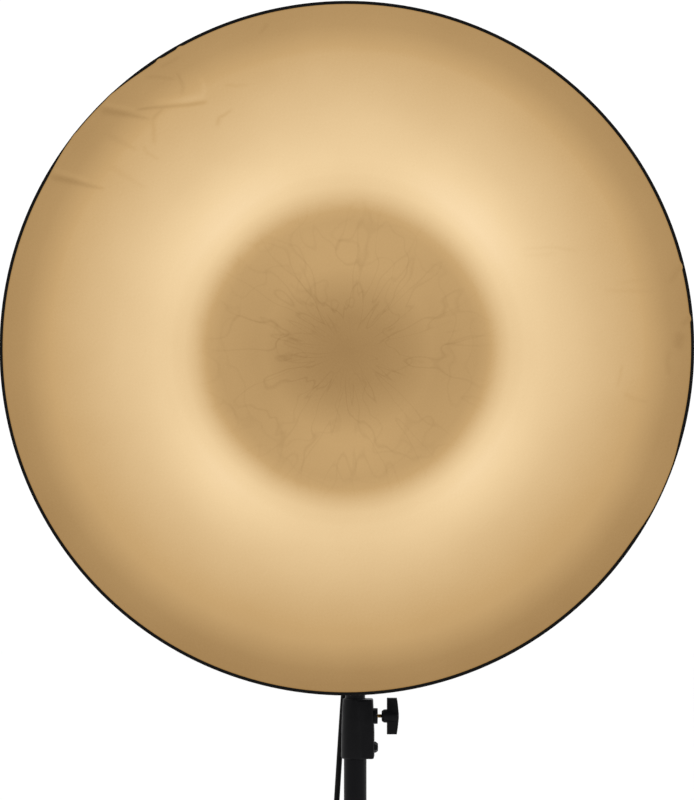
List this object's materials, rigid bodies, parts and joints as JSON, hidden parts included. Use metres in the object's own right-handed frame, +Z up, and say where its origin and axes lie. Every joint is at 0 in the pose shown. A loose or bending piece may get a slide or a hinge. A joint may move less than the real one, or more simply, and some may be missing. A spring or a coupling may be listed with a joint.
{
  "type": "studio beauty dish reflector on a light stand",
  "caption": "Round lit reflector dish with stretched fabric diffuser and inner deflector, on a flash head, tilting yoke and folding light stand.",
  "frame": {"origin": "middle of the footprint on the floor, under the reflector and the rear foot", "axes": "+Z up, +X right, the lit face looks along -Y"},
  "size_m": [0.826, 0.7758, 1.45],
  "materials": {
    "black_paint": "satin",
    "black_plastic": "fine grain",
    "black_rubber": "matte",
    "white_paint": "matte white inside, satin black outside",
    "zinc": "yellow zinc plate",
    "steel": "bright",
    "aluminium": "machined",
    "glass": "clear",
    "ceramic": "unglazed",
    "fabric": "fine diagonal weave, lit from behind",
    "elastic": "knitted elastic",
    "board": "satin",
    "sleeve": "heat-shrink sleeve"
  },
  "bodies": {
    "column": {"spider": "black_plastic", "column_tube": "black_paint", "clamp_collar": "black_plastic", "clamp_bolt": "black_paint", "cord_drop": "black_rubber", "cord_coil": "black_rubber", "cord_tail": "black_rubber", "cord_plug": "black_rubber"},
    "leg_collar": {"leg_collar": "black_plastic", "leg_pin_1": "zinc", "leg_pin_2": "zinc", "leg_pin_3": "zinc"},
    "leg_collar_knob": {"leg_collar_knob": "black_plastic"},
    "clamp_knob": {"clamp_knob": "black_plastic", "clamp_screw": "zinc"},
    "riser": {"riser_tube": "black_paint", "spigot": "aluminium", "riser_clip": "black_plastic"},
    "yoke": {"yoke": "black_plastic", "yoke_clip": "black_plastic", "tilt_bolt": "steel", "cord_head": "black_rubber", "cord_link": "black_rubber"},
    "socket_knob": {"socket_knob": "black_plastic"},
    "tilt_lever": {"tilt_lever": "black_plastic"},
    "head": {"head_casing": "black_plastic", "head_foot": "black_paint", "front_collar": "black_paint", "rear_panel": "black_plastic", "lamp_base": "ceramic", "modelling_lamp": "glass", "flash_tube": "glass", "mains_inlet": "black_plastic", "circuit_board": "board", "capacitor": "sleeve", "cord_connector": "black_rubber"},
    "release_slider": {"release_slider": "black_plastic"},
    "power_switch": {"power_switch": "black_plastic"},
    "power_dial": {"power_dial": "black_plastic"},
    "lamp_dial": {"lamp_dial": "black_plastic"},
    "test_button": {"test_button": "black_rubber"},
    "reflector": {"dish_shell": "white_paint", "mount_ring": "aluminium", "deflector": "white_paint", "post_1": "aluminium", "post_2": "aluminium", "post_3": "aluminium", "post_4": "aluminium", "diffuser": "fabric", "rim_elastic": "elastic"},
    "leg_1": {"leg_1": "black_paint", "foot_1": "black_rubber"},
    "brace_1": {"brace_1": "black_paint"},
    "leg_2": {"leg_2": "black_paint", "foot_2": "black_rubber"},
    "brace_2": {"brace_2": "black_paint"},
    "leg_3": {"leg_3": "black_paint", "foot_3": "black_rubber"},
    "brace_3": {"brace_3": "black_paint"}
  },
  "joints": [
    {"name": "leg_collar_slide", "type": "slide", "parent": "column", "child": "leg_collar", "axis": [0, 0, 1], "range_m": [0, 0.2677]},
    {"name": "leg_1_fold", "type": "hinge", "parent": "leg_collar", "child": "leg_1", "pos_m": [0.03291, -0.10577, 0.23504], "axis": [0.5, 0.866, 0], "range_deg": [0, 62]},
    {"name": "brace_1_fold", "type": "hinge", "parent": "column", "child": "brace_1", "pos_m": [0.01732, -0.09677, 0.028], "axis": [-0.5, -0.866, 0], "range_deg": [0, 62]},
    {"name": "leg_2_fold", "type": "hinge", "parent": "leg_collar", "child": "leg_2", "pos_m": [0, -0.04877, 0.23504], "axis": [-1, 0, 0], "range_deg": [0, 62]},
    {"name": "brace_2_fold", "type": "hinge", "parent": "column", "child": "brace_2", "pos_m": [0, -0.06677, 0.028], "axis": [1, 0, 0], "range_deg": [0, 62]},
    {"name": "leg_3_fold", "type": "hinge", "parent": "leg_collar", "child": "leg_3", "pos_m": [-0.03291, -0.10577, 0.23504], "axis": [0.5, -0.866, 0], "range_deg": [0, 62]},
    {"name": "brace_3_fold", "type": "hinge", "parent": "column", "child": "brace_3", "pos_m": [-0.01732, -0.09677, 0.028], "axis": [-0.5, 0.866, 0], "range_deg": [0, 62]},
    {"name": "leg_collar_knob_turn", "type": "hinge", "parent": "leg_collar", "child": "leg_collar_knob", "pos_m": [0.02598, -0.07177, 0.23504], "axis": [0.866, 0.5, 0], "range_deg": [0, 540]},
    {"name": "clamp_knob_turn", "type": "hinge", "parent": "column", "child": "clamp_knob", "pos_m": [0.03, -0.08677, 0.7068], "axis": [1, 0, 0], "range_deg": [0, 540]},
    {"name": "riser_slide", "type": "slide", "parent": "column", "child": "riser", "axis": [0, 0, 1], "range_m": [-0.15, 0.27], "deforming": ["cord_drop"]},
    {"name": "swivel", "type": "hinge", "parent": "riser", "child": "yoke", "pos_m": [0, -0.08677, 0.95], "axis": [0, 0, 1], "range_deg": [-170, 170], "deforming": ["cord_link"]},
    {"name": "socket_knob_turn", "type": "hinge", "parent": "yoke", "child": "socket_knob", "pos_m": [0.03, -0.08677, 0.95], "axis": [1, 0, 0], "range_deg": [0, 540]},
    {"name": "tilt_lever_turn", "type": "hinge", "parent": "yoke", "child": "tilt_lever", "pos_m": [-0.02, -0.08677, 1], "axis": [-1, 0, 0], "range_deg": [0, 60]},
    {"name": "tilt", "type": "hinge", "parent": "yoke", "child": "head", "pos_m": [0, -0.08677, 1], "axis": [1, 0, 0], "range_deg": [-60, 40], "deforming": ["cord_head"]},
    {"name": "reflector_twist", "type": "hinge", "parent": "head", "child": "reflector", "pos_m": [0, -0.18677, 1.1], "axis": [0, -1, 0], "range_deg": [0, 30]},
    {"name": "release_slide", "type": "slide", "parent": "head", "child": "release_slider", "axis": [0, 1, 0], "range_m": [0, 0.004], "stiffness_N_per_m": 300},
    {"name": "power_switch_rock", "type": "hinge", "parent": "head", "child": "power_switch", "pos_m": [0.026, 0.04153, 1.066], "axis": [1, 0, 0], "range_deg": [0, 14]},
    {"name": "power_dial_turn", "type": "hinge", "parent": "head", "child": "power_dial", "pos_m": [-0.024, 0.04823, 1.13], "axis": [0, -1, 0], "range_deg": [-150, 150]},
    {"name": "lamp_dial_turn", "type": "hinge", "parent": "head", "child": "lamp_dial", "pos_m": [0.024, 0.04823, 1.13], "axis": [0, -1, 0], "range_deg": [-150, 150]},
    {"name": "test_button_push", "type": "slide", "parent": "head", "child": "test_button", "axis": [0, -1, 0], "range_m": [0, 0.003], "stiffness_N_per_m": 400}
  ],
  "couplings": [
    {"joint": "leg_1_fold", "follows": "leg_collar_slide", "rad_per_m": 4.04},
    {"joint": "brace_1_fold", "follows": "leg_collar_slide", "rad_per_m": 4.04},
    {"joint": "leg_2_fold", "follows": "leg_collar_slide", "rad_per_m": 4.04},
    {"joint": "brace_2_fold", "follows": "leg_collar_slide", "rad_per_m": 4.04},
    {"joint": "leg_3_fold", "follows": "leg_collar_slide", "rad_per_m": 4.04},
    {"joint": "brace_3_fold", "follows": "leg_collar_slide", "rad_per_m": 4.04}
  ]
}
